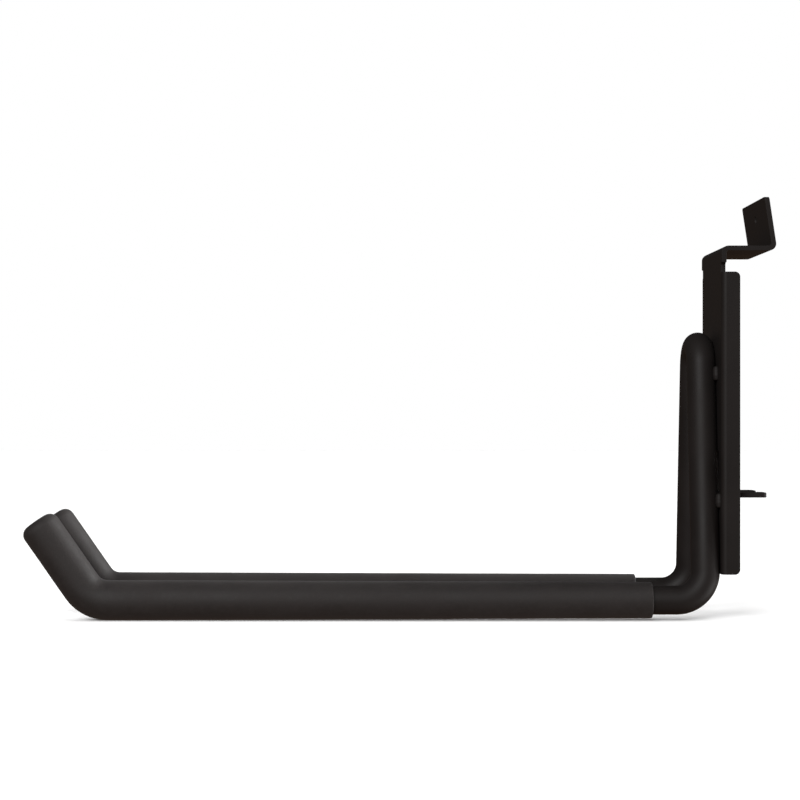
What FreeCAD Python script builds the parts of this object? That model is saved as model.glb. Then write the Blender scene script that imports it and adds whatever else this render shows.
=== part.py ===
import FreeCAD, Part

import math
import os

from FreeCAD import Vector

# A padded double-arm hook for a grooved wall panel: one bent sheet-steel bracket, one bent steel rod
# welded to its front, and a soft sleeve on each of the rod's two arms.
#
# Millimetres. X = 0 is the panel's front face, +X goes into the panel and the arms reach towards -X.
# The arms are mirror images about Y = 0. Z = 0 is the underside of the strap, which hangs on the
# panel. The two grooves that the bracket enters are one groove pitch apart.

# Panel that the bracket fits
GROOVE_PITCH = 76.2

# Bracket sheet: the flanges are folded sharper than the strap and the tabs
SHEET = 1.5
FOLD_INSIDE = 0.2
BEND_INSIDE = 0.6
BRACKET_WIDTH = 38.1

# Channel: a front web with a flange bent back along each side
CHANNEL_DEPTH = 5.7
CHANNEL_HEIGHT = 93.2
FLANGE_CORNER = 1.6

# Neck, strap and upper tab
NECK_HEIGHT = 6.5
RELIEF_DEPTH = 2.1
RELIEF_HEIGHT = 2.9
RELIEF_ROUNDING = 0.9
STRAP_REACH = 11.4
UPPER_TAB_RISE = 16.5
UPPER_TAB_LEAN = 8.6
UPPER_TAB_CORNER = 1.0
HANGING_HOLE = 2.5
HANGING_HOLE_RISE = 11.2

# Lower tab, cut out of the web and folded back
LOWER_TAB_WIDTH = 26.5
LOWER_TAB_REACH = 9.4
LOWER_TAB_CORNER = 1.5
LANCE_GAP = 0.6
FORK_WIDTH = 10.0
FORK_DEPTH = 2.4
FORK_CORNER = 1.0

# Rod
ROD_DIAMETER = 8.9
ARM_SPACING = 33.1
ARM_DROP = 107.7
ARM_REACH = 199.8
TIP_LENGTH = 27.7
TIP_ANGLE = 55.1
LOOP_DROP = 28.95
LOOP_BEND = 7.0
REAR_BEND = 9.1
TIP_BEND = 9.7

# Sleeves
SLEEVE_OPEN_WALL = 1.1
SLEEVE_TIP_WALL = 1.65
SLEEVE_TAPER_STOP = 8.0
SLEEVE_END_WALL = 2.0
SLEEVE_TIP_ROUNDING = 3.0
SLEEVE_RIM_ROUNDING = 0.4
SLEEVE_CLEARANCE = 0.05
LEFT_SLEEVE_START = 27.9
RIGHT_SLEEVE_START = 26.9

# Weld beads in the crevice outside each upright, by how far they lie below the strap, how far their
# middles lie inside the upright's side, and how far they stand off the web
WELD_LENGTH = 5.2
WELD_RADIUS = 1.3
WELD_INSET = 1.25
WELD_STANDOFF = 0.2
UPPER_WELD_DROP = 38.5
LOWER_WELD_DROP = 77.9

# How far a cutting tool or a blank passes the piece it shapes
OVERRUN = 10.0

# Worked out from the values above
ROD_RADIUS = ROD_DIAMETER / 2
SLEEVE_BORE_RADIUS = ROD_RADIUS + SLEEVE_CLEARANCE
SLEEVE_OPEN_RADIUS = SLEEVE_BORE_RADIUS + SLEEVE_OPEN_WALL
SLEEVE_TIP_RADIUS = SLEEVE_BORE_RADIUS + SLEEVE_TIP_WALL
WEB_FRONT = -CHANNEL_DEPTH
WEB_BACK = WEB_FRONT + SHEET
FLANGE_TOP = -NECK_HEIGHT
FLANGE_BOTTOM = FLANGE_TOP - CHANNEL_HEIGHT
UPRIGHT_X = WEB_FRONT - ROD_RADIUS


def rounded_wire(corners, radii):
    """A wire through the corners, with a tangent arc of the given radius at each one in between."""
    edges = []
    start = corners[0]
    for before, corner, after, radius in zip(corners, corners[1:], corners[2:], radii):
        back = (before - corner).normalize()
        onward = (after - corner).normalize()
        inward = (back + onward).normalize()
        half_angle = back.getAngle(onward) / 2
        setback = radius / math.tan(half_angle)
        arc_start = corner + back * setback
        arc_end = corner + onward * setback
        arc_middle = corner + inward * (radius / math.sin(half_angle) - radius)
        edges.append(Part.LineSegment(start, arc_start).toShape())
        if radius > 0:
            edges.append(Part.Arc(arc_start, arc_middle, arc_end).toShape())
        start = arc_end
    edges.append(Part.LineSegment(start, corners[-1]).toShape())
    return Part.Wire(edges)


def rounded_plate(corners, radii, thickness):
    """A flat closed outline with rounded corners, given a thickness."""
    seam = (corners[-1] + corners[0]) / 2
    outline = rounded_wire([seam] + corners + [seam], radii)
    return Part.Face(outline).extrude(thickness)


def bent_sheet(corners, across, inside):
    """A sheet whose one face follows the corners and whose width is across. Its thickness lies to the
    left of the corners, seen with across pointing at the viewer, and its bends have one inside radius."""
    outside = inside + SHEET
    ways = [(after - before).normalize() for before, after in zip(corners, corners[1:])]
    normal = Vector(across).normalize()
    lefts = [normal.cross(way) for way in ways]
    other = [corners[0] + lefts[0] * SHEET]
    radii = []
    other_radii = []
    for corner, left, next_left, next_way in zip(corners[1:], lefts, lefts[1:], ways[1:]):
        other.append(corner + (left + next_left) * (SHEET / (1 + left.dot(next_left))))
        turns_left = left.dot(next_way) > 0
        radii.append(outside if turns_left else inside)
        other_radii.append(inside if turns_left else outside)
    other.append(corners[-1] + lefts[-1] * SHEET)
    first_face = rounded_wire(corners, radii)
    other_face = rounded_wire(other, other_radii)
    ends = [Part.LineSegment(corners[0], other[0]).toShape(),
            Part.LineSegment(corners[-1], other[-1]).toShape()]
    outline = Part.Wire(Part.__sortEdges__(first_face.Edges + other_face.Edges + ends))
    return Part.Face(outline).extrude(across)


def tube_along(path, radius):
    """A round bar along a path."""
    first = path.OrderedEdges[0]
    start = path.OrderedVertexes[0].Point
    way = first.tangentAt(first.FirstParameter)
    section = Part.Wire(Part.makeCircle(radius, start, way))
    return path.makePipeShell([section], True, False)


def channel():
    """The web and its two flanges, with the flanges' rear corners rounded."""
    half = BRACKET_WIDTH / 2
    corners = [
        Vector(0, half, FLANGE_BOTTOM),
        Vector(WEB_FRONT, half, FLANGE_BOTTOM),
        Vector(WEB_FRONT, -half, FLANGE_BOTTOM),
        Vector(0, -half, FLANGE_BOTTOM),
    ]
    folded = bent_sheet(corners, Vector(0, 0, CHANNEL_HEIGHT), FOLD_INSIDE)
    side_view = [
        Vector(WEB_FRONT, -half, FLANGE_BOTTOM),
        Vector(0, -half, FLANGE_BOTTOM),
        Vector(0, -half, FLANGE_TOP),
        Vector(WEB_FRONT, -half, FLANGE_TOP),
    ]
    blank = rounded_plate(side_view, [0, FLANGE_CORNER, FLANGE_CORNER, 0], Vector(0, BRACKET_WIDTH, 0))
    return folded.common(blank)


def upper_tab_way():
    """The direction up the leaning upper tab."""
    lean = math.radians(UPPER_TAB_LEAN)
    return Vector(-math.sin(lean), 0, math.cos(lean))


def upper_hook():
    """The neck above the channel, the strap into the groove, and the tab up behind the panel's lip."""
    half = BRACKET_WIDTH / 2
    heel = Vector(STRAP_REACH, half, 0)
    tab_length = (UPPER_TAB_RISE + OVERRUN) / upper_tab_way().z
    corners = [
        Vector(WEB_BACK, half, FLANGE_TOP),
        Vector(WEB_BACK, half, 0),
        heel,
        heel + upper_tab_way() * tab_length,
    ]
    folded = bent_sheet(corners, Vector(0, -BRACKET_WIDTH, 0), BEND_INSIDE)
    neck_half = half - RELIEF_DEPTH
    relief_top = FLANGE_TOP + RELIEF_HEIGHT
    right_side = [
        Vector(WEB_FRONT, neck_half, FLANGE_TOP),
        Vector(WEB_FRONT, neck_half, relief_top),
        Vector(WEB_FRONT, half, relief_top),
        Vector(WEB_FRONT, half, UPPER_TAB_RISE),
    ]
    left_side = [Vector(corner.x, -corner.y, corner.z) for corner in reversed(right_side)]
    side_radii = [0, RELIEF_ROUNDING, 0, UPPER_TAB_CORNER]
    depth = Vector(CHANNEL_DEPTH + STRAP_REACH + OVERRUN, 0, 0)
    blank = rounded_plate(right_side + left_side, side_radii + side_radii[::-1], depth)
    return folded.common(blank).cut(hanging_hole())


def hanging_hole():
    """The small round hole square through the upper tab."""
    way_up = upper_tab_way()
    foot = Vector(STRAP_REACH, 0, 0)
    centre = foot + way_up * (HANGING_HOLE_RISE / way_up.z)
    square = Vector(way_up.z, 0, -way_up.x)
    return Part.makeCylinder(HANGING_HOLE / 2, 3 * SHEET, centre - square * (2 * SHEET), square)


def lower_tab():
    """The tab folded back from the web, with rounded corners and a fork in its rear edge."""
    half = LOWER_TAB_WIDTH / 2
    under = -GROOVE_PITCH
    bend_start = under - BEND_INSIDE
    corners = [
        Vector(WEB_BACK, half, bend_start - SHEET),
        Vector(WEB_BACK, half, under),
        Vector(LOWER_TAB_REACH, half, under),
    ]
    folded = bent_sheet(corners, Vector(0, -LOWER_TAB_WIDTH, 0), BEND_INSIDE)
    bottom = bend_start - SHEET
    fork_floor = LOWER_TAB_REACH - FORK_DEPTH
    right_side = [
        Vector(WEB_FRONT, half, bottom),
        Vector(LOWER_TAB_REACH, half, bottom),
        Vector(LOWER_TAB_REACH, FORK_WIDTH / 2, bottom),
        Vector(fork_floor, FORK_WIDTH / 2, bottom),
    ]
    left_side = [Vector(corner.x, -corner.y, corner.z) for corner in reversed(right_side)]
    side_radii = [0, LOWER_TAB_CORNER, FORK_CORNER, FORK_CORNER]
    height = Vector(0, 0, BEND_INSIDE + 3 * SHEET)
    blank = rounded_plate(right_side + left_side, side_radii + side_radii[::-1], height)
    return folded.common(blank)


def web_window():
    """The opening that the lower tab leaves in the web, as tall as the tab's flattened length."""
    bend_length = math.pi / 2 * (BEND_INSIDE + SHEET / 2)
    flat_length = LOWER_TAB_REACH - WEB_BACK - BEND_INSIDE
    width = LOWER_TAB_WIDTH + 2 * LANCE_GAP
    corner = Vector(WEB_FRONT, -width / 2, -GROOVE_PITCH - BEND_INSIDE)
    return Part.makeBox(SHEET, width, bend_length + flat_length, corner)


def bracket():
    """The whole bent sheet."""
    pierced = channel().cut(web_window())
    return pierced.fuse([upper_hook(), lower_tab()]).removeSplitter()


def mirrored(shape):
    """The same shape on the other side of Y = 0."""
    return shape.mirror(Vector(0, 0, 0), Vector(0, 1, 0))


def upright_angle():
    """How far each upright leans in towards the loop, in radians."""
    half = ARM_SPACING / 2
    fall = ARM_DROP - LOOP_DROP - LOOP_BEND
    return math.atan2(half, fall) - math.asin(LOOP_BEND / math.hypot(half, fall))


def rod_corners():
    """The rod's centre line as corners: right tip, arm, upright, loop, and back down the left."""
    half = ARM_SPACING / 2
    loop_centre = -LOOP_DROP - LOOP_BEND
    apex = Vector(UPRIGHT_X, 0, loop_centre + LOOP_BEND / math.sin(upright_angle()))
    arm_end = Vector(-ARM_REACH, -half, -ARM_DROP)
    tip = arm_end + tip_way() * TIP_LENGTH
    right_side = [tip, arm_end, Vector(UPRIGHT_X, -half, -ARM_DROP)]
    left_side = [Vector(corner.x, -corner.y, corner.z) for corner in reversed(right_side)]
    return right_side + [apex] + left_side


def tip_way():
    """The direction up the bent end of an arm."""
    turn = math.radians(TIP_ANGLE)
    return Vector(-math.cos(turn), 0, math.sin(turn))


def hook_rod():
    """One bar: tip, arm, upright, hairpin loop, and the same again on the other side."""
    path = rounded_wire(rod_corners(), [TIP_BEND, REAR_BEND, LOOP_BEND, REAR_BEND, TIP_BEND])
    return tube_along(path, ROD_RADIUS)


def round_edge_at(shape, centre):
    """The circular edge of a shape that is centred at a point."""
    rings = [edge for edge in shape.Edges if edge.Closed]
    return [edge for edge in rings if edge.CenterOfMass.isEqual(centre, SLEEVE_CLEARANCE)]


def right_sleeve(start):
    """A soft sleeve on the right arm, open at the start and closed over the rod's tip."""
    tip, arm_end = rod_corners()[:2]
    mouth = Vector(-start, arm_end.y, arm_end.z)
    closed_end = tip + tip_way() * SLEEVE_END_WALL
    skin = sleeve_taper(mouth, arm_end).fuse(sleeve_end(arm_end, closed_end))
    bore_start = mouth + Vector(OVERRUN, 0, 0)
    bore_path = rounded_wire([bore_start, arm_end, tip], [TIP_BEND])
    bore = tube_along(bore_path, SLEEVE_BORE_RADIUS)
    return skin.cut(bore)


def sleeve_taper(mouth, arm_end):
    """The stretch along the arm, thicker towards the tip, with a rounded rim at its mouth."""
    length = mouth.x - arm_end.x - SLEEVE_TAPER_STOP
    forward = Vector(-1, 0, 0)
    cone = Part.makeCone(SLEEVE_OPEN_RADIUS, SLEEVE_TIP_RADIUS, length, mouth, forward)
    return cone.makeFillet(SLEEVE_RIM_ROUNDING, round_edge_at(cone, mouth))


def sleeve_end(arm_end, closed_end):
    """The bent stretch, with its flat end rounded off."""
    taper_stop = arm_end + Vector(SLEEVE_TAPER_STOP, 0, 0)
    path = rounded_wire([taper_stop, arm_end, closed_end], [TIP_BEND])
    tube = tube_along(path, SLEEVE_TIP_RADIUS)
    return tube.makeFillet(SLEEVE_TIP_ROUNDING, round_edge_at(tube, closed_end))


def weld_beads(drop):
    """A pair of short beads at one height, one outside each upright, filling its crevice."""
    foot = rod_corners()[2]
    way_up = Vector(0, math.sin(upright_angle()), math.cos(upright_angle()))
    outward = Vector(0, -way_up.z, way_up.y)
    beside = foot + way_up * ((ARM_DROP - drop) / way_up.z)
    to_web = Vector(ROD_RADIUS - WELD_STANDOFF, 0, 0)
    middle = beside + outward * (ROD_RADIUS - WELD_INSET) + to_web
    barrel_length = WELD_LENGTH - 2 * WELD_RADIUS
    start = middle - way_up * (barrel_length / 2)
    bead = Part.makeCylinder(WELD_RADIUS, barrel_length, start, way_up)
    ends = [Part.makeSphere(WELD_RADIUS, start + way_up * along) for along in (0, barrel_length)]
    upright = Part.makeCylinder(ROD_RADIUS, 2 * ARM_DROP, foot, way_up)
    behind_web_front = Part.makeBox(
        OVERRUN, 2 * BRACKET_WIDTH, 2 * ARM_DROP, Vector(WEB_FRONT, -BRACKET_WIDTH, -2 * ARM_DROP)
    )
    bead = bead.fuse(ends).removeSplitter().cut([upright, behind_web_front])
    return Part.makeCompound([bead, mirrored(bead)])


PIECES = {
    "bracket": bracket(),
    "hook_rod": hook_rod(),
    "right_sleeve": right_sleeve(RIGHT_SLEEVE_START),
    "left_sleeve": mirrored(right_sleeve(LEFT_SLEEVE_START)),
    "upper_weld_beads": weld_beads(UPPER_WELD_DROP),
    "lower_weld_beads": weld_beads(LOWER_WELD_DROP),
}

os.makedirs("parts", exist_ok=True)
for name, shape in PIECES.items():
    shape.exportStep(f"parts/{name}.step")
    print(name, shape.isValid(), len(shape.Solids), round(shape.Volume), shape.BoundBox)
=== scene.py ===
import math

import bpy
from mathutils import Matrix, Vector


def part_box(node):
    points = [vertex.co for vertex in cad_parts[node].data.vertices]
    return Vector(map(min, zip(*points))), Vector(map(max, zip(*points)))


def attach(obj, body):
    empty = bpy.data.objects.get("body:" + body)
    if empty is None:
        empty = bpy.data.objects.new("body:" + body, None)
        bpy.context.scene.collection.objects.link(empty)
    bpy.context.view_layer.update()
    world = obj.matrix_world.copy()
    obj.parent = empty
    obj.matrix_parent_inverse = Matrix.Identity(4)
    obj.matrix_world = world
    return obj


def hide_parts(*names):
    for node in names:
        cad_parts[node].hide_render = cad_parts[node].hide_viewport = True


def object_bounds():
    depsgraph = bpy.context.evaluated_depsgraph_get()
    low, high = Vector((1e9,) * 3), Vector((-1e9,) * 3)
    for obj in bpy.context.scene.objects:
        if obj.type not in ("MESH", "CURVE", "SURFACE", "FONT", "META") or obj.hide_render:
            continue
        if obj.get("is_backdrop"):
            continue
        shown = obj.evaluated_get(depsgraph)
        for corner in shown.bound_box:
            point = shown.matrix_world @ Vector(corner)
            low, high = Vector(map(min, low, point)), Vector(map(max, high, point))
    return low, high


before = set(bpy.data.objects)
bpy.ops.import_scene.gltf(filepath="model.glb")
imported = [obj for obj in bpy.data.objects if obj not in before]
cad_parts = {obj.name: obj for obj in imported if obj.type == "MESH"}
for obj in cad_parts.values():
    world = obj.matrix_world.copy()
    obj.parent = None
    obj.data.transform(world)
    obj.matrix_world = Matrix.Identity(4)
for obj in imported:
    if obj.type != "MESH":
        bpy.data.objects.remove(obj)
CAD_LOW, CAD_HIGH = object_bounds()

bl_info = {
    "name": "Sleeved Wall Panel Hook",
    "version": (1, 0, 0),
    "blender": (4, 5, 0),
    "location": "3D View > Sidebar > Wall Hook",
    "description": "Builds a double-arm hook for a grooved wall panel, with coats, sleeves, welds and stage",
    "category": "Object",
}

MM = 0.001
BODY = "root"

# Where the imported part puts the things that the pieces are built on
WEB_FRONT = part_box("bracket")[0].x
SLEEVE_MOUTH = {"right_sleeve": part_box("right_sleeve")[1].x, "left_sleeve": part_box("left_sleeve")[1].x}
UPPER_WELD_Z = sum(corner.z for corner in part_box("upper_weld_beads")) / 2
LOWER_WELD_Z = sum(corner.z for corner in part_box("lower_weld_beads")) / 2

# How finely the pieces are meshed
BAR_SIDES = 56
BEAD_SIDES = 20
RINGS_PER_RIPPLE = 4

# Merging and smoothing
MERGE_DISTANCE = 0.002 * MM
SHEET_MERGE_DISTANCE = 0.001 * MM
MIRROR_MERGE_DISTANCE = 0.02 * MM
FLAT_WITHIN = math.radians(0.3)
SHARP_FOLD = math.radians(40)
SHEET_SMOOTHING = math.radians(32)
BAR_SMOOTHING = math.radians(30)
SLEEVE_SMOOTHING = math.radians(50)

# Small shapes
BAR_END_ROUNDING = 0.6 * MM
WAVER_SIZE = 14 * MM
RIPPLE_DEPTH = 0.05
BEAD_FULLNESS = 2.4

# Gloss of the coats, and the tone that shows where the sheet's coat has thinned
BRACKET_ROUGHNESS = 0.57
BAR_ROUGHNESS = 0.54
WELD_ROUGHNESS = 0.60
WORN_TONE = (0.0150, 0.0130, 0.0125)

# Stage
FLOOR_SIZE = 6.0
FLOOR_WASH = 3.15
FLOOR_WASH_SPREAD = math.radians(120)
CARD_X = -0.3 * MM
CARD_WIDTH = 34.0 * MM
FILL_BELOW = (2.1, 1.10, 0.55, 1.0)
FILL_ABOVE = (1.0, 0.97, 0.96, 1.0)
CAMERA_X = -115.8 * MM
CAMERA_Z = -50.5 * MM


class RodSizes(bpy.types.PropertyGroup):
    """The bent bar: its thickness, its runs and its bends."""
    diameter: bpy.props.FloatProperty(
        name="Bar Diameter", description="Thickness of the round bar",
        default=8.9 * MM, min=4 * MM, max=20 * MM, unit="LENGTH")
    arm_spacing: bpy.props.FloatProperty(
        name="Arm Spacing", description="Distance between the two arms' centre lines",
        default=33.1 * MM, min=15 * MM, max=80 * MM, unit="LENGTH")
    arm_drop: bpy.props.FloatProperty(
        name="Arm Drop", description="How far the arms lie below the strap",
        default=107.7 * MM, min=60 * MM, max=200 * MM, unit="LENGTH")
    arm_reach: bpy.props.FloatProperty(
        name="Arm Reach", description="From the panel's face to the corner of an arm's upturned end",
        default=199.8 * MM, min=80 * MM, max=400 * MM, unit="LENGTH")
    tip_length: bpy.props.FloatProperty(
        name="Tip Length", description="Length of the bar beyond the corner of its upturned end",
        default=27.7 * MM, min=15 * MM, max=60 * MM, unit="LENGTH")
    tip_angle: bpy.props.FloatProperty(
        name="Tip Angle", description="How far the ends turn up from the arms",
        default=math.radians(55.1), min=math.radians(20), max=math.radians(90), subtype="ANGLE")
    loop_drop: bpy.props.FloatProperty(
        name="Loop Drop", description="How far the top of the loop's centre line lies below the strap",
        default=28.95 * MM, min=10 * MM, max=60 * MM, unit="LENGTH")
    loop_bend: bpy.props.FloatProperty(
        name="Loop Bend Radius", description="Centre line radius of the loop that joins the uprights",
        default=7.0 * MM, min=5 * MM, max=20 * MM, unit="LENGTH")
    rear_bend: bpy.props.FloatProperty(
        name="Rear Bend Radius", description="Centre line radius between an upright and its arm",
        default=9.1 * MM, min=5 * MM, max=30 * MM, unit="LENGTH")
    tip_bend: bpy.props.FloatProperty(
        name="Tip Bend Radius", description="Centre line radius at the start of an upturned end",
        default=9.7 * MM, min=5 * MM, max=30 * MM, unit="LENGTH")


class SleeveSizes(bpy.types.PropertyGroup):
    """The soft sleeves' walls and roundings."""
    open_wall: bpy.props.FloatProperty(
        name="Wall at Mouth", description="Thickness of the sleeve at its open end",
        default=1.1 * MM, min=0.5 * MM, max=4 * MM, unit="LENGTH")
    tip_wall: bpy.props.FloatProperty(
        name="Wall at Tip", description="Thickness of the sleeve round the upturned end",
        default=1.65 * MM, min=0.5 * MM, max=4 * MM, unit="LENGTH")
    end_wall: bpy.props.FloatProperty(
        name="End Wall", description="Thickness of the sleeve beyond the end of the bar",
        default=2.0 * MM, min=0.5 * MM, max=6 * MM, unit="LENGTH")
    clearance: bpy.props.FloatProperty(
        name="Clearance", description="Gap between the bar and the inside of the sleeve",
        default=0.05 * MM, min=0.0, max=0.5 * MM, unit="LENGTH")
    tip_rounding: bpy.props.FloatProperty(
        name="Tip Rounding", description="Radius round the closed end",
        default=3.0 * MM, min=0.5 * MM, max=5 * MM, unit="LENGTH")
    rim_rounding: bpy.props.FloatProperty(
        name="Rim Rounding", description="Radius round the mouth",
        default=0.45 * MM, min=0.1 * MM, max=1 * MM, unit="LENGTH")
    taper_stop: bpy.props.FloatProperty(
        name="Taper Stop", description="How far before the corner of the upturned end the taper stops",
        default=8.0 * MM, min=6 * MM, max=40 * MM, unit="LENGTH")
    waver: bpy.props.FloatProperty(
        name="Waver", description="How far the moulded surface wanders from true",
        default=0.09 * MM, min=0.0, max=0.5 * MM, unit="LENGTH")


class WeldSizes(bpy.types.PropertyGroup):
    """The short weld beads outside the uprights."""
    length: bpy.props.FloatProperty(
        name="Bead Length", description="Length of one bead",
        default=5.2 * MM, min=3 * MM, max=20 * MM, unit="LENGTH")
    radius: bpy.props.FloatProperty(
        name="Bead Radius", description="Half of a bead's width",
        default=1.3 * MM, min=0.5 * MM, max=4 * MM, unit="LENGTH")
    inset: bpy.props.FloatProperty(
        name="Bead Inset", description="How far a bead's middle lies inside the upright's side",
        default=1.25 * MM, min=0.0, max=3 * MM, unit="LENGTH")
    standoff: bpy.props.FloatProperty(
        name="Bead Standoff", description="How far a bead's middle stands off the web",
        default=0.2 * MM, min=0.0, max=2 * MM, unit="LENGTH")
    ripples: bpy.props.IntProperty(
        name="Ripples", description="Number of ripples along one bead", default=4, min=2, max=12)


class Finishes(bpy.types.PropertyGroup):
    """Colours of the two coats and of the sleeves, and the softness of the sheet's edges."""
    bracket_colour: bpy.props.FloatVectorProperty(
        name="Bracket Coat", description="Colour of the powder coat on the sheet",
        default=(0.0122, 0.0100, 0.0094), size=3, min=0.0, max=1.0, subtype="COLOR")
    rod_colour: bpy.props.FloatVectorProperty(
        name="Bar Coat", description="Colour of the powder coat on the bar",
        default=(0.0122, 0.0101, 0.0096), size=3, min=0.0, max=1.0, subtype="COLOR")
    sleeve_colour: bpy.props.FloatVectorProperty(
        name="Sleeve Colour", description="Colour of the soft sleeves",
        default=(0.0158, 0.0130, 0.0125), size=3, min=0.0, max=1.0, subtype="COLOR")
    edge_softness: bpy.props.FloatProperty(
        name="Edge Softness", description="Width of the rounding that the coat leaves on the sheet's edges",
        default=0.28 * MM, min=0.05 * MM, max=0.6 * MM, unit="LENGTH")


class StageSettings(bpy.types.PropertyGroup):
    """The floor, the lights and the camera."""
    floor_colour: bpy.props.FloatVectorProperty(
        name="Floor Colour", description="Colour of the plain floor",
        default=(0.93, 0.93, 0.93), size=3, min=0.0, max=1.0, subtype="COLOR")
    camera_distance: bpy.props.FloatProperty(
        name="Camera Distance", description="From the hook's middle plane to the camera",
        default=662.2 * MM, min=0.3, max=3.0, unit="LENGTH")
    ambient: bpy.props.FloatProperty(
        name="Ambient", description="Brightness of the room's fill light", default=0.075, min=0.0, max=2.0)


# Meshing

def deselect():
    """Nothing selected, in object mode."""
    if bpy.context.object is not None and bpy.context.object.mode != "OBJECT":
        bpy.ops.object.mode_set(mode="OBJECT")
    bpy.ops.object.select_all(action="DESELECT")


def pick(obj):
    """Only this object selected and active."""
    deselect()
    obj.select_set(True)
    bpy.context.view_layer.objects.active = obj


def start_ring(name, centre, way, radius, sides):
    """A filled ring square to a direction, in edit mode with its rim selected: the start of a swept piece."""
    deselect()
    turn = Vector(way).to_track_quat("Z", "Y").to_euler()
    bpy.ops.mesh.primitive_circle_add(
        vertices=sides, radius=radius, fill_type="NGON", location=centre, rotation=turn)
    obj = bpy.context.object
    obj.name = obj.data.name = name
    bpy.ops.object.transform_apply(location=True, rotation=True, scale=True)
    bpy.ops.object.mode_set(mode="EDIT")
    bpy.ops.mesh.select_mode(type="EDGE")
    bpy.ops.mesh.select_all(action="SELECT")
    bpy.ops.mesh.delete(type="ONLY_FACE")
    bpy.ops.mesh.select_all(action="SELECT")
    bpy.ops.mesh.edge_face_add()
    bpy.ops.mesh.select_mode(type="EDGE")
    bpy.ops.mesh.select_all(action="SELECT")
    return obj


def push_ring(offset, divisions=1):
    """Extrudes the selected ring by an offset, in equal steps."""
    step = Vector(offset) / divisions
    for _ in range(divisions):
        bpy.ops.mesh.extrude_region_move(TRANSFORM_OT_translate={"value": step})


def scale_ring(factor, centre):
    """Scales the selected ring about a point."""
    bpy.ops.transform.resize(value=(factor, factor, factor), center_override=centre)


def turn_ring(centre, axis, angle, steps):
    """Spins the selected ring about an axis, right-handed."""
    bpy.ops.mesh.spin(steps=steps, angle=-angle, center=centre, axis=axis)


def cap_ring():
    """Closes the selected ring with a face, left selected."""
    bpy.ops.mesh.edge_face_add()


def close_and_tidy():
    """Merges doubles and turns every face outwards."""
    bpy.ops.mesh.select_all(action="SELECT")
    bpy.ops.mesh.remove_doubles(threshold=MERGE_DISTANCE)
    bpy.ops.mesh.normals_make_consistent(inside=False)
    bpy.ops.mesh.select_all(action="DESELECT")
    bpy.ops.object.mode_set(mode="OBJECT")


class Bend:
    """The arc that rounds a corner between two straight runs."""

    def __init__(self, before, corner, after, radius):
        back = (before - corner).normalized()
        onward = (after - corner).normalized()
        half = back.angle(onward) / 2
        self.start = corner + back * (radius / math.tan(half))
        self.end = corner + onward * (radius / math.tan(half))
        self.centre = corner + (back + onward).normalized() * (radius / math.sin(half))
        self.axis = (-back).cross(onward).normalized()
        self.angle = math.pi - 2 * half


def sweep(corners, radii, steps, divisions):
    """Takes the selected ring along the corners, rounding each one. The ring stays selected."""
    here = corners[0]
    bends = zip(corners, corners[1:], corners[2:], radii)
    for number, (before, corner, after, radius) in enumerate(bends):
        bend = Bend(before, corner, after, radius)
        push_ring(bend.start - here, divisions[number])
        turn_ring(bend.centre, bend.axis, bend.angle, steps)
        here = bend.end
    push_ring(corners[-1] - here, divisions[-1])


def apply_modifiers(obj):
    """Applies every modifier on a piece, in order."""
    pick(obj)
    for modifier in list(obj.modifiers):
        bpy.ops.object.modifier_apply(modifier=modifier.name)


def finish_piece(obj, material, slot, *nodes):
    """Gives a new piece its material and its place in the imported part."""
    obj.data.materials.clear()
    obj.data.materials.append(material)
    if nodes:
        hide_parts(*nodes)
    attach(obj, BODY)
    return obj


# Node helpers

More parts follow.
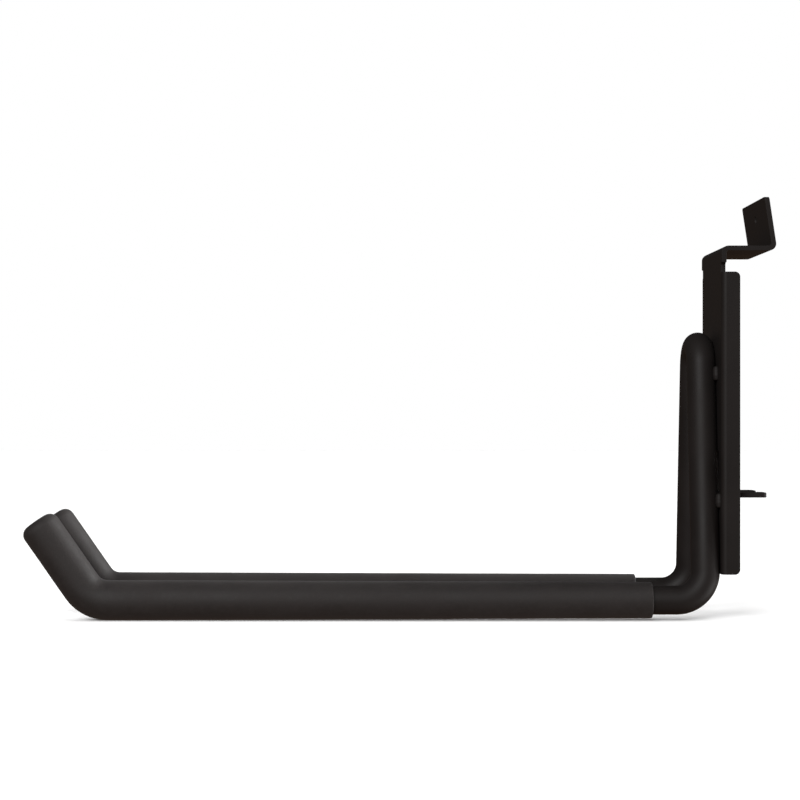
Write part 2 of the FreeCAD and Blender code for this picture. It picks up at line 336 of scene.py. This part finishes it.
class Shader:
    """A material's node tree, with short ways to add and join nodes."""

    def __init__(self, name):
        self.material = bpy.data.materials.new(name)
        self.material.use_nodes = True
        self.tree = self.material.node_tree
        self.tree.nodes.clear()
        self.surface = self.add("ShaderNodeBsdfPrincipled")
        output = self.add("ShaderNodeOutputMaterial")
        self.join(self.surface.outputs["BSDF"], output.inputs["Surface"])

    def add(self, kind, **values):
        node = self.tree.nodes.new(kind)
        for key, value in values.items():
            setattr(node, key, value)
        return node

    def join(self, source, target):
        self.tree.links.new(source, target)

    def noise(self, place, scale, detail, roughness=0.5, stretch=None):
        """A noise pattern with so many cycles a metre, pulled out along an axis if asked."""
        if stretch is not None:
            mapping = self.add("ShaderNodeMapping")
            mapping.inputs["Scale"].default_value = stretch
            self.join(place, mapping.inputs["Vector"])
            place = mapping.outputs["Vector"]
        node = self.add("ShaderNodeTexNoise")
        node.inputs["Scale"].default_value = scale
        node.inputs["Detail"].default_value = detail
        node.inputs["Roughness"].default_value = roughness
        self.join(place, node.inputs["Vector"])
        return node.outputs["Fac"]

    def ramp(self, source, low, high, low_value, high_value):
        """Maps a range of a pattern onto a range of values, clamped."""
        node = self.add("ShaderNodeMapRange")
        node.inputs["From Min"].default_value = low
        node.inputs["From Max"].default_value = high
        node.inputs["To Min"].default_value = low_value
        node.inputs["To Max"].default_value = high_value
        self.join(source, node.inputs["Value"])
        return node.outputs["Result"]

    def combine(self, first, second, operation="ADD"):
        """Adds two patterns, or joins them by another operation."""
        node = self.add("ShaderNodeMath", operation=operation)
        self.join(first, node.inputs[0])
        self.join(second, node.inputs[1])
        return node.outputs[0]

    def blend(self, factor, first, second):
        """A colour between two colours, each a value or a socket."""
        node = self.add("ShaderNodeMix", data_type="RGBA")
        self.join(factor, node.inputs["Factor"])
        for colour, socket in ((first, node.inputs["A"]), (second, node.inputs["B"])):
            if isinstance(colour, tuple):
                socket.default_value = (*colour, 1.0)
            else:
                self.join(colour, socket)
        return node.outputs["Result"]

    def bump(self, height, distance, strength, under=None):
        node = self.add("ShaderNodeBump")
        node.inputs["Strength"].default_value = strength
        node.inputs["Distance"].default_value = distance
        self.join(height, node.inputs["Height"])
        if under is not None:
            self.join(under, node.inputs["Normal"])
        return node.outputs["Normal"]

    def attribute(self, name):
        return self.add("ShaderNodeAttribute", attribute_name=name)

    def object_place(self):
        return self.add("ShaderNodeTexCoord").outputs["Object"]


def shade(colour, factor):
    """A colour made lighter or darker."""
    return tuple(channel * factor for channel in colour)


# Materials

EDGE = "edge"
STRAIGHT = "straight"


def powder_coat(name, colour, roughness, edge_wear):
    """Satin powder coat: fine orange peel, cloudy gloss, faint specks, and edges where it has thinned."""
    coat = Shader(name)
    place = coat.object_place()
    clouds = coat.noise(place, 55.0, 3.0)
    peel = coat.noise(place, 1500.0, 2.0, 0.45)
    grain = coat.noise(place, 5200.0, 2.0, 0.6)
    colour = tuple(colour)
    tone = coat.blend(coat.ramp(clouds, 0.35, 0.65, 0.0, 1.0), shade(colour, 0.86), shade(colour, 1.14))
    speck = coat.ramp(grain, 0.60, 0.74, 0.0, 0.55)
    tone = coat.blend(speck, tone, shade(colour, 2.1))
    gloss = coat.ramp(clouds, 0.3, 0.7, roughness - 0.05, roughness + 0.05)
    gloss = coat.combine(gloss, coat.ramp(grain, 0.3, 0.7, -0.03, 0.03))
    if edge_wear:
        rubbed = coat.noise(place, 260.0, 4.0, 0.65)
        rubbed = coat.ramp(rubbed, 0.42, 0.68, 0.12, 0.9)
        edge = coat.combine(coat.attribute(EDGE).outputs["Fac"], rubbed, "MULTIPLY")
        tone = coat.blend(edge, tone, WORN_TONE)
        gloss = coat.combine(gloss, coat.ramp(edge, 0.0, 1.0, 0.0, 0.09), "SUBTRACT")
    coat.join(tone, coat.surface.inputs["Base Color"])
    coat.join(gloss, coat.surface.inputs["Roughness"])
    normal = coat.bump(peel, 0.05 * MM, 0.30)
    normal = coat.bump(grain, 0.012 * MM, 0.35, normal)
    coat.join(normal, coat.surface.inputs["Normal"])
    coat.surface.inputs["Specular IOR Level"].default_value = 0.16
    return coat.material


def sleeve_skin(name, colour):
    """Soft matte sleeve: fine leathery grain, faint draw lines along it, dull patches and a dusty bloom."""
    skin = Shader(name)
    place = skin.attribute(STRAIGHT).outputs["Vector"]
    clouds = skin.noise(place, 70.0, 3.0)
    mottle = skin.noise(place, 620.0, 3.0, 0.6)
    grain = skin.noise(place, 3000.0, 2.0, 0.6)
    lines = skin.noise(place, 1.0, 2.0, 0.6, stretch=(1300.0, 1300.0, 9.0))
    colour = tuple(colour)
    tone = skin.blend(skin.ramp(clouds, 0.35, 0.65, 0.0, 1.0), shade(colour, 0.88), shade(colour, 1.10))
    tone = skin.blend(skin.ramp(mottle, 0.45, 0.75, 0.0, 0.5), tone, shade(colour, 1.5))
    tone = skin.blend(skin.ramp(grain, 0.58, 0.75, 0.0, 0.6), tone, shade(colour, 1.9))
    skin.join(tone, skin.surface.inputs["Base Color"])
    dull = skin.ramp(clouds, 0.3, 0.7, 0.62, 0.74)
    dull = skin.combine(dull, skin.ramp(mottle, 0.3, 0.7, -0.04, 0.04))
    skin.join(dull, skin.surface.inputs["Roughness"])
    normal = skin.bump(lines, 0.03 * MM, 0.30)
    normal = skin.bump(mottle, 0.06 * MM, 0.35, normal)
    normal = skin.bump(grain, 0.02 * MM, 0.45, normal)
    skin.join(normal, skin.surface.inputs["Normal"])
    skin.surface.inputs["Specular IOR Level"].default_value = 0.30
    skin.surface.inputs["Sheen Weight"].default_value = 0.05
    skin.surface.inputs["Sheen Roughness"].default_value = 0.5
    return skin.material


def plain_floor(name, colour):
    """A plain pale floor with the faintest unevenness."""
    floor = Shader(name)
    tint = floor.ramp(floor.noise(floor.object_place(), 6.0, 2.0), 0.3, 0.7, 0.0, 1.0)
    tone = floor.blend(tint, shade(tuple(colour), 0.995), tuple(colour))
    floor.join(tone, floor.surface.inputs["Base Color"])
    floor.surface.inputs["Roughness"].default_value = 0.9
    floor.surface.inputs["Specular IOR Level"].default_value = 0.1
    floor.surface.inputs["Emission Color"].default_value = (1.0, 1.0, 1.0, 1.0)
    floor.surface.inputs["Emission Strength"].default_value = 0.06
    return floor.material


# The bar's path

def upright_angle(rod):
    """How far each upright leans in towards the loop."""
    half = rod.arm_spacing / 2
    fall = rod.arm_drop - rod.loop_drop - rod.loop_bend
    return math.atan2(half, fall) - math.asin(rod.loop_bend / math.hypot(half, fall))


def tip_way(rod):
    """The direction up an upturned end."""
    return Vector((-math.cos(rod.tip_angle), 0.0, math.sin(rod.tip_angle)))


def right_corners(rod):
    """The right half of the bar's centre line as corners: tip, arm, upright, and the loop's apex."""
    half = rod.arm_spacing / 2
    upright_x = WEB_FRONT - rod.diameter / 2
    arm_end = Vector((-rod.arm_reach, -half, -rod.arm_drop))
    tip = arm_end + tip_way(rod) * rod.tip_length
    foot = Vector((upright_x, -half, -rod.arm_drop))
    apex_z = -rod.loop_drop - rod.loop_bend + rod.loop_bend / math.sin(upright_angle(rod))
    return [tip, arm_end, foot, Vector((upright_x, 0.0, apex_z))]


def mirror_copy(obj, name):
    """The same piece on the other side of the middle plane, with its own mesh."""
    twin = bpy.data.objects.new(name, obj.data.copy())
    bpy.context.scene.collection.objects.link(twin)
    twin.data.transform(Matrix.Diagonal((1.0, -1.0, 1.0, 1.0)))
    pick(twin)
    bpy.ops.object.mode_set(mode="EDIT")
    bpy.ops.mesh.select_all(action="SELECT")
    bpy.ops.mesh.normals_make_consistent(inside=False)
    bpy.ops.object.mode_set(mode="OBJECT")
    return twin


# Pieces

class HOOK_OT_fold_bracket(bpy.types.Operator):
    """Makes the folded sheet bracket with softened edges"""
    bl_idname = "wall_hook.fold_bracket"
    bl_label = "Fold Bracket"

    def execute(self, context):
        finishes = context.scene.wall_hook.finishes
        obj = bpy.data.objects.new("folded_bracket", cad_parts["bracket"].data.copy())
        context.scene.collection.objects.link(obj)
        obj.data.materials.clear()
        pick(obj)
        bpy.ops.object.mode_set(mode="EDIT")
        bpy.ops.mesh.select_mode(type="FACE")
        bpy.ops.mesh.select_all(action="SELECT")
        bpy.ops.mesh.remove_doubles(threshold=SHEET_MERGE_DISTANCE)
        bpy.ops.mesh.dissolve_limited(angle_limit=FLAT_WITHIN)
        bpy.ops.mesh.select_all(action="DESELECT")
        bpy.ops.object.mode_set(mode="OBJECT")
        soften = obj.modifiers.new("Softened edges", "BEVEL")
        soften.width = finishes.edge_softness
        soften.segments = 3
        soften.limit_method = "ANGLE"
        soften.angle_limit = SHARP_FOLD
        soften.material = 1
        coat = powder_coat("Bracket coat", finishes.bracket_colour, BRACKET_ROUGHNESS, True)
        obj.data.materials.append(coat)
        obj.data.materials.append(coat)
        apply_modifiers(obj)
        mark_edges(obj)
        bpy.ops.object.shade_smooth_by_angle(angle=SHEET_SMOOTHING)
        steady = obj.modifiers.new("Flat faces stay flat", "WEIGHTED_NORMAL")
        steady.keep_sharp = True
        steady.weight = 90
        apply_modifiers(obj)
        finish_piece(obj, coat, "bracket_coat", "bracket")
        return {"FINISHED"}


def mark_edges(obj):
    """Marks the softened edges, where the coat wears first, and gives all faces one material."""
    mesh = obj.data
    soft = [True] * len(mesh.vertices)
    for face in mesh.polygons:
        if face.material_index == 0:
            for vertex in face.vertices:
                soft[vertex] = False
        face.material_index = 0
    layer = mesh.attributes.new(EDGE, "FLOAT", "POINT")
    layer.data.foreach_set("value", [1.0 if value else 0.0 for value in soft])


class HOOK_OT_bend_rod(bpy.types.Operator):
    """Bends the bar: tips, arms, uprights and the loop"""
    bl_idname = "wall_hook.bend_rod"
    bl_label = "Bend Bar"

    def execute(self, context):
        rod = context.scene.wall_hook.rod
        finishes = context.scene.wall_hook.finishes
        tip, arm_end, foot, apex = right_corners(rod)
        radius = rod.diameter / 2
        rounding = BAR_END_ROUNDING
        obj = start_ring("bent_bar", tip, arm_end - tip, radius - rounding, BAR_SIDES)
        way = (arm_end - tip).normalized()
        push_ring(way * rounding * 0.3)
        scale_ring((radius - rounding * 0.3) / (radius - rounding), tip + way * rounding * 0.3)
        push_ring(way * rounding * 0.7)
        scale_ring(radius / (radius - rounding * 0.3), tip + way * rounding)
        start = tip + way * rounding
        rear = Bend(arm_end, foot, apex, rod.rear_bend)
        sweep([start, arm_end, rear.start], [rod.tip_bend], 16, [4, 40])
        turn_ring(rear.centre, rear.axis, rear.angle, 24)
        self.close_loop(rod, rear.end, foot, apex)
        close_and_tidy()
        twin = obj.modifiers.new("Other side", "MIRROR")
        twin.use_axis = (False, True, False)
        twin.merge_threshold = MIRROR_MERGE_DISTANCE
        apply_modifiers(obj)
        bpy.ops.object.shade_smooth_by_angle(angle=BAR_SMOOTHING)
        coat = powder_coat("Bar coat", finishes.rod_colour, BAR_ROUGHNESS, False)
        finish_piece(obj, coat, "rod_coat", "hook_rod")
        return {"FINISHED"}

    def close_loop(self, rod, here, foot, apex):
        """Up the leaning upright and half way round the loop, to the middle plane."""
        mirrored_foot = Vector((foot.x, -foot.y, foot.z))
        loop = Bend(foot, apex, mirrored_foot, rod.loop_bend)
        push_ring(loop.start - here, 12)
        turn_ring(loop.centre, loop.axis, loop.angle / 2, 18)


class HOOK_OT_fit_sleeves(bpy.types.Operator):
    """Moulds the right sleeve and its mirrored twin, each with its own mouth"""
    bl_idname = "wall_hook.fit_sleeves"
    bl_label = "Fit Sleeves"

    def execute(self, context):
        finishes = context.scene.wall_hook.finishes
        skin = sleeve_skin("Sleeve skin", finishes.sleeve_colour)
        right = self.mould(context, "right_soft_sleeve", SLEEVE_MOUTH["right_sleeve"])
        left_blank = self.mould(context, "left_blank", SLEEVE_MOUTH["left_sleeve"])
        left = mirror_copy(left_blank, "left_soft_sleeve")
        bpy.data.objects.remove(left_blank)
        for obj, node in ((right, "right_sleeve"), (left, "left_sleeve")):
            pick(obj)
            bpy.ops.object.shade_smooth_by_angle(angle=SLEEVE_SMOOTHING)
            finish_piece(obj, skin, "sleeve_rubber", node)
        return {"FINISHED"}

    def mould(self, context, name, mouth_x):
        """One closed skin: from inside the tip back to the mouth, round the rim, and out over the tip."""
        rod = context.scene.wall_hook.rod
        sizes = context.scene.wall_hook.sleeve
        tip, arm_end = right_corners(rod)[:2]
        mouth = Vector((mouth_x, arm_end.y, arm_end.z))
        closed_end = tip + tip_way(rod) * sizes.end_wall
        bore = rod.diameter / 2 + sizes.clearance
        obj = start_ring(name, tip, arm_end - tip, bore, BAR_SIDES)
        backward = Vector((1.0, 0.0, 0.0))
        rim = sizes.rim_rounding
        sweep([tip, arm_end, mouth - backward * rim], [rod.tip_bend], 14, [2, 4])
        self.round_rim(mouth, bore, bore + sizes.open_wall, rim)
        self.outer_skin(rod, sizes, mouth - backward * rim, arm_end, closed_end)
        cap_ring()
        close_and_tidy()
        self.straighten_grain(obj, rod, arm_end, mouth)
        self.waver(obj, sizes.waver)
        return obj

    def round_rim(self, mouth, bore, outside, rim):
        """Rounds the mouth from the bore to the outside, in small steps."""
        steps = 4
        here = bore
        at = mouth - Vector((rim, 0.0, 0.0))
        inner = [(bore + rim * (1 - math.cos(turn)), mouth.x - rim * (1 - math.sin(turn)))
                 for turn in (math.pi / 2 * i / steps for i in range(1, steps + 1))]
        outer = [(outside - rim * (1 - math.sin(turn)), mouth.x - rim * (1 - math.cos(turn)))
                 for turn in (math.pi / 2 * i / steps for i in range(0, steps + 1))]
        for radius, x in inner + outer:
            push_ring((x - at.x, 0.0, 0.0))
            at = Vector((x, at.y, at.z))
            scale_ring(radius / here, at)
            here = radius

    def outer_skin(self, rod, sizes, start, arm_end, closed_end):
        """Along the arm as it thickens, round the bend, up to the closed end and over its rounding."""
        bore = rod.diameter / 2 + sizes.clearance
        mouth_radius = bore + sizes.open_wall
        tip_radius = bore + sizes.tip_wall
        stop = arm_end + Vector((sizes.taper_stop, 0.0, 0.0))
        divisions = 48
        step = (stop - start) / divisions
        radius = mouth_radius
        at = start
        for i in range(1, divisions + 1):
            wider = mouth_radius + (tip_radius - mouth_radius) * i / divisions
            push_ring(step)
            at = at + step
            scale_ring(wider / radius, at)
            radius = wider
        way = tip_way(rod)
        shoulder = closed_end - way * sizes.tip_rounding
        sweep([stop, arm_end, shoulder], [rod.tip_bend], 18, [1, 10])
        steps = 7
        here = 0.0
        for i in range(1, steps + 1):
            turn = math.pi / 2 * i / steps
            height = sizes.tip_rounding * math.sin(turn)
            narrower = tip_radius - sizes.tip_rounding * (1 - math.cos(turn))
            push_ring(way * (height - here))
            scale_ring(narrower / radius, shoulder + way * height)
            here = height
            radius = narrower
        for share in (0.7, 0.35):
            bpy.ops.mesh.extrude_region_move(TRANSFORM_OT_translate={"value": (0.0, 0.0, 0.0)})
            scale_ring(narrower * share / radius, closed_end)
            radius = narrower * share

    def straighten_grain(self, obj, rod, arm_end, mouth):
        """Stores where each point would be on a straightened sleeve, so that the grain follows it."""
        bend = Bend(mouth, arm_end, arm_end + tip_way(rod) * rod.tip_length, rod.tip_bend)
        run = (bend.start - mouth).length
        way = tip_way(rod)
        places = []
        for vertex in obj.data.vertices:
            places.extend(self.straight_place(vertex.co, bend, mouth, run, way, rod.tip_bend))
        layer = obj.data.attributes.new(STRAIGHT, "FLOAT_VECTOR", "POINT")
        layer.data.foreach_set("vector", places)

    def straight_place(self, point, bend, mouth, run, way, bend_radius):
        """A point's place across and along the straightened sleeve."""
        side = point.y - mouth.y
        if point.x > bend.start.x:
            return (side, point.z - mouth.z, mouth.x - point.x)
        beyond = (point - bend.end).dot(way)
        if beyond > 0:
            up = Vector((way.z, 0.0, -way.x))
            return (side, (point - bend.end).dot(up), run + bend_radius * bend.angle + beyond)
        spoke = Vector((point.x - bend.centre.x, 0.0, point.z - bend.centre.z))
        turned = math.atan2(-spoke.x, -spoke.z)
        return (side, bend_radius - spoke.length, run + bend_radius * turned)

    def waver(self, obj, amount):
        """Lets the skin wander a few hundredths of a millimetre, as a sleeve pulled over a bar does."""
        texture = bpy.data.textures.new("Waver", "CLOUDS")
        texture.noise_scale = WAVER_SIZE
        texture.noise_depth = 1
        wander = obj.modifiers.new("Wander", "DISPLACE")
        wander.texture = texture
        wander.texture_coords = "LOCAL"
        wander.strength = amount
        wander.mid_level = 0.5
        apply_modifiers(obj)


class HOOK_OT_lay_welds(bpy.types.Operator):
    """Lays a pair of rippled weld beads at each of two heights"""
    bl_idname = "wall_hook.lay_welds"
    bl_label = "Lay Weld Beads"

    def execute(self, context):
        rod = context.scene.wall_hook.rod
        finishes = context.scene.wall_hook.finishes
        coat = powder_coat("Weld coat", finishes.rod_colour, WELD_ROUGHNESS, False)
        for name, height in (("upper_weld", UPPER_WELD_Z), ("lower_weld", LOWER_WELD_Z)):
            right = self.bead(context, f"{name}_right", rod, height)
            left = mirror_copy(right, f"{name}_left")
            pick(left)
            right.select_set(True)
            bpy.context.view_layer.objects.active = right
            bpy.ops.object.join()
            pick(right)
            right.name = right.data.name = f"{name}_pair"
            bpy.ops.object.shade_smooth()
            finish_piece(right, coat, "rod_coat", f"{name}_beads")
        return {"FINISHED"}

    def bead(self, context, name, rod, height):
        """One bead, up along the upright, swelling and narrowing from ripple to ripple."""
        sizes = context.scene.wall_hook.weld
        lean = upright_angle(rod)
        foot = right_corners(rod)[2]
        way = Vector((0.0, math.sin(lean), math.cos(lean)))
        outward = Vector((0.0, -way.z, way.y))
        beside = foot + way * ((height - foot.z) / way.z)
        sunk = Vector((rod.diameter / 2 - sizes.standoff, 0.0, 0.0))
        middle = beside + outward * (rod.diameter / 2 - sizes.inset) + sunk
        start = middle - way * (sizes.length / 2)
        profile = self.profile(sizes)
        first_along, first_radius = profile[0]
        obj = start_ring(name, start + way * first_along, way, first_radius, BEAD_SIDES)
        along, radius = first_along, first_radius
        for next_along, next_radius in profile[1:]:
            push_ring(way * (next_along - along))
            scale_ring(next_radius / radius, start + way * next_along)
            along, radius = next_along, next_radius
        cap_ring()
        close_and_tidy()
        smooth = obj.modifiers.new("Flow", "SUBSURF")
        smooth.levels = smooth.render_levels = 2
        apply_modifiers(obj)
        return obj

    def profile(self, sizes):
        """How far along the bead each ring lies, and its radius."""
        rings = sizes.ripples * RINGS_PER_RIPPLE
        rows = []
        for i in range(1, rings):
            share = i / rings
            dome = math.sqrt(1 - abs(2 * share - 1) ** BEAD_FULLNESS)
            ripple = 1 - RIPPLE_DEPTH * (0.5 + 0.5 * math.cos(2 * math.pi * sizes.ripples * share))
            rows.append((sizes.length * share, sizes.radius * dome * ripple))
        return rows


# Stage

class HOOK_OT_set_stage(bpy.types.Operator):
    """Lays the plain floor, hangs the soft lights and sets up the camera"""
    bl_idname = "wall_hook.set_stage"
    bl_label = "Set Stage"

    def execute(self, context):
        stage = context.scene.wall_hook.stage
        floor = self.floor(stage)
        self.card()
        self.room(context.scene, stage)
        self.lights(floor)
        self.camera(context.scene, stage)
        return {"FINISHED"}

    def floor(self, stage):
        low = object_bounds()[0]
        deselect()
        bpy.ops.mesh.primitive_plane_add(size=FLOOR_SIZE, location=(0.0, 0.0, low.z))
        floor = bpy.context.object
        floor.name = floor.data.name = "plain_floor"
        bpy.ops.object.transform_apply(location=True, rotation=True, scale=True)
        floor.data.materials.append(plain_floor("Plain pale floor", stage.floor_colour))
        floor.visible_glossy = False
        floor.visible_diffuse = False
        floor.visible_shadow = False
        floor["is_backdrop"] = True
        return floor

    def card(self):
        """A card behind the web's window, unseen by the camera, that keeps light from shining through it."""
        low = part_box("lower_weld_beads")[1].z
        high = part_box("upper_weld_beads")[0].z
        deselect()
        bpy.ops.mesh.primitive_plane_add(
            size=1.0, location=(CARD_X, 0.0, (low + high) / 2),
            rotation=(0.0, math.radians(90), 0.0))
        card = bpy.context.object
        card.name = card.data.name = "shade_card"
        card.scale = (high - low, CARD_WIDTH, 1.0)
        bpy.ops.object.transform_apply(location=True, rotation=True, scale=True)
        card.visible_camera = False
        card.visible_diffuse = False
        card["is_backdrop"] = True

    def room(self, scene, stage):
        """A white room to the eye, and for everything else a dim fill, warmer from below."""
        world = bpy.data.worlds.new("Pale room")
        scene.world = world
        world.use_nodes = True
        tree = world.node_tree
        tree.nodes.clear()
        place = tree.nodes.new("ShaderNodeTexCoord")
        split = tree.nodes.new("ShaderNodeSeparateXYZ")
        height = tree.nodes.new("ShaderNodeMapRange")
        height.inputs["From Min"].default_value = -0.6
        height.inputs["From Max"].default_value = 0.3
        tint = tree.nodes.new("ShaderNodeMix")
        tint.data_type = "RGBA"
        tint.inputs["A"].default_value = FILL_BELOW
        tint.inputs["B"].default_value = FILL_ABOVE
        rays = tree.nodes.new("ShaderNodeLightPath")
        seen = tree.nodes.new("ShaderNodeBackground")
        seen.inputs["Color"].default_value = (1.0, 1.0, 1.0, 1.0)
        fill = tree.nodes.new("ShaderNodeBackground")
        fill.inputs["Strength"].default_value = stage.ambient
        mix = tree.nodes.new("ShaderNodeMixShader")
        output = tree.nodes.new("ShaderNodeOutputWorld")
        tree.links.new(place.outputs["Generated"], split.inputs[0])
        tree.links.new(split.outputs["Z"], height.inputs["Value"])
        tree.links.new(height.outputs["Result"], tint.inputs["Factor"])
        tree.links.new(tint.outputs["Result"], fill.inputs["Color"])
        tree.links.new(rays.outputs["Is Camera Ray"], mix.inputs["Fac"])
        tree.links.new(fill.outputs[0], mix.inputs[1])
        tree.links.new(seen.outputs[0], mix.inputs[2])
        tree.links.new(mix.outputs[0], output.inputs["Surface"])

    def lights(self, floor):
        middle = (CAD_LOW + CAD_HIGH) / 2
        self.floor_wash(floor)
        self.softbox("Front left softbox", (-0.50, -1.25, 0.60), middle, 0.8, 0.9, 22.0)
        rims = [
            self.softbox("Right softbox", (0.85, 0.20, 0.45), middle, 0.6, 0.6, 22.0),
            self.softbox("Low right strip", (0.87, -0.20, -0.36), middle, 0.45, 0.25, 4.0)]
        self.only_on(rims, "Lit from the right", ("bent_bar", "right_soft_sleeve", "left_soft_sleeve"))
        back = self.softbox("Back softbox", (1.20, 0.0, -0.05), middle, 0.5, 0.5, 12.0)
        self.only_on([back], "Lit from the back", ("folded_bracket",))
        back.light_linking.blocker_collection = back.light_linking.receiver_collection

    def only_on(self, lights, name, pieces):
        """Lets the lights fall on the named pieces alone."""
        lit = bpy.data.collections.new(name)
        for piece in pieces:
            lit.objects.link(bpy.data.objects[piece])
        for light in lights:
            light.light_linking.receiver_collection = lit

    def floor_wash(self, floor):
        """An even wash on the floor alone, soft enough to leave only contact shadows."""
        data = bpy.data.lights.new("Floor wash", "SUN")
        data.energy = FLOOR_WASH
        data.angle = FLOOR_WASH_SPREAD
        light = bpy.data.objects.new("Floor wash", data)
        bpy.context.scene.collection.objects.link(light)
        self.only_on([light], "Lit by the floor wash", (floor.name,))
        light.visible_camera = False

    def softbox(self, name, offset, target, width, height, power):
        """A soft area light, set off from the target in metres and aimed at it, with its power in watts."""
        data = bpy.data.lights.new(name, "AREA")
        data.shape = "RECTANGLE"
        data.size = width
        data.size_y = height
        data.energy = power
        light = bpy.data.objects.new(name, data)
        bpy.context.scene.collection.objects.link(light)
        place = target + Vector(offset)
        light.location = place
        light.rotation_euler = (target - place).to_track_quat("-Z", "Y").to_euler()
        light.visible_camera = False
        return light

    def camera(self, scene, stage):
        data = bpy.data.cameras.new("Camera")
        data.sensor_width = 36.0
        data.lens = 94.2
        data.shift_x = 0.0457
        data.shift_y = 0.0184
        data.clip_start = 0.01
        camera = bpy.data.objects.new("Camera", data)
        scene.collection.objects.link(camera)
        camera.location = (CAMERA_X, -stage.camera_distance, CAMERA_Z)
        camera.rotation_euler = (math.radians(90), 0.0, 0.0)
        scene.camera = camera
        scene.view_settings.view_transform = "Standard"


class HookSettings(bpy.types.PropertyGroup):
    """Everything about the hook that a user may change."""
    rod: bpy.props.PointerProperty(type=RodSizes, name="Bar", description="Sizes of the bent bar")
    sleeve: bpy.props.PointerProperty(type=SleeveSizes, name="Sleeves", description="Sizes of the sleeves")
    weld: bpy.props.PointerProperty(type=WeldSizes, name="Welds", description="Sizes of the weld beads")
    finishes: bpy.props.PointerProperty(type=Finishes, name="Finishes", description="Colours and edges")
    stage: bpy.props.PointerProperty(type=StageSettings, name="Stage", description="Floor, lights and camera")


class HOOK_PT_sidebar(bpy.types.Panel):
    """Sizes, colours and building steps of the wall panel hook"""
    bl_idname = "HOOK_PT_sidebar"
    bl_label = "Wall Panel Hook"
    bl_space_type = "VIEW_3D"
    bl_region_type = "UI"
    bl_category = "Wall Hook"

    def draw(self, context):
        settings = context.scene.wall_hook
        groups = (
            ("Bracket", settings.finishes, HOOK_OT_fold_bracket),
            ("Bar", settings.rod, HOOK_OT_bend_rod),
            ("Sleeves", settings.sleeve, HOOK_OT_fit_sleeves),
            ("Weld beads", settings.weld, HOOK_OT_lay_welds),
            ("Stage", settings.stage, HOOK_OT_set_stage),
        )
        for title, group, operator in groups:
            box = self.layout.box()
            box.label(text=title)
            for name in group.__annotations__:
                box.prop(group, name)
            box.operator(operator.bl_idname)


CLASSES = (
    RodSizes, SleeveSizes, WeldSizes, Finishes, StageSettings, HookSettings,
    HOOK_OT_fold_bracket, HOOK_OT_bend_rod, HOOK_OT_fit_sleeves, HOOK_OT_lay_welds, HOOK_OT_set_stage,
    HOOK_PT_sidebar,
)


def register():
    for item in CLASSES:
        bpy.utils.register_class(item)
    bpy.types.Scene.wall_hook = bpy.props.PointerProperty(type=HookSettings)


def unregister():
    del bpy.types.Scene.wall_hook
    for item in reversed(CLASSES):
        bpy.utils.unregister_class(item)


def main():
    register()
    for step in ("fold_bracket", "bend_rod", "fit_sleeves", "lay_welds", "set_stage"):
        getattr(bpy.ops.wall_hook, step)()


if __name__ == "__main__":
    main()
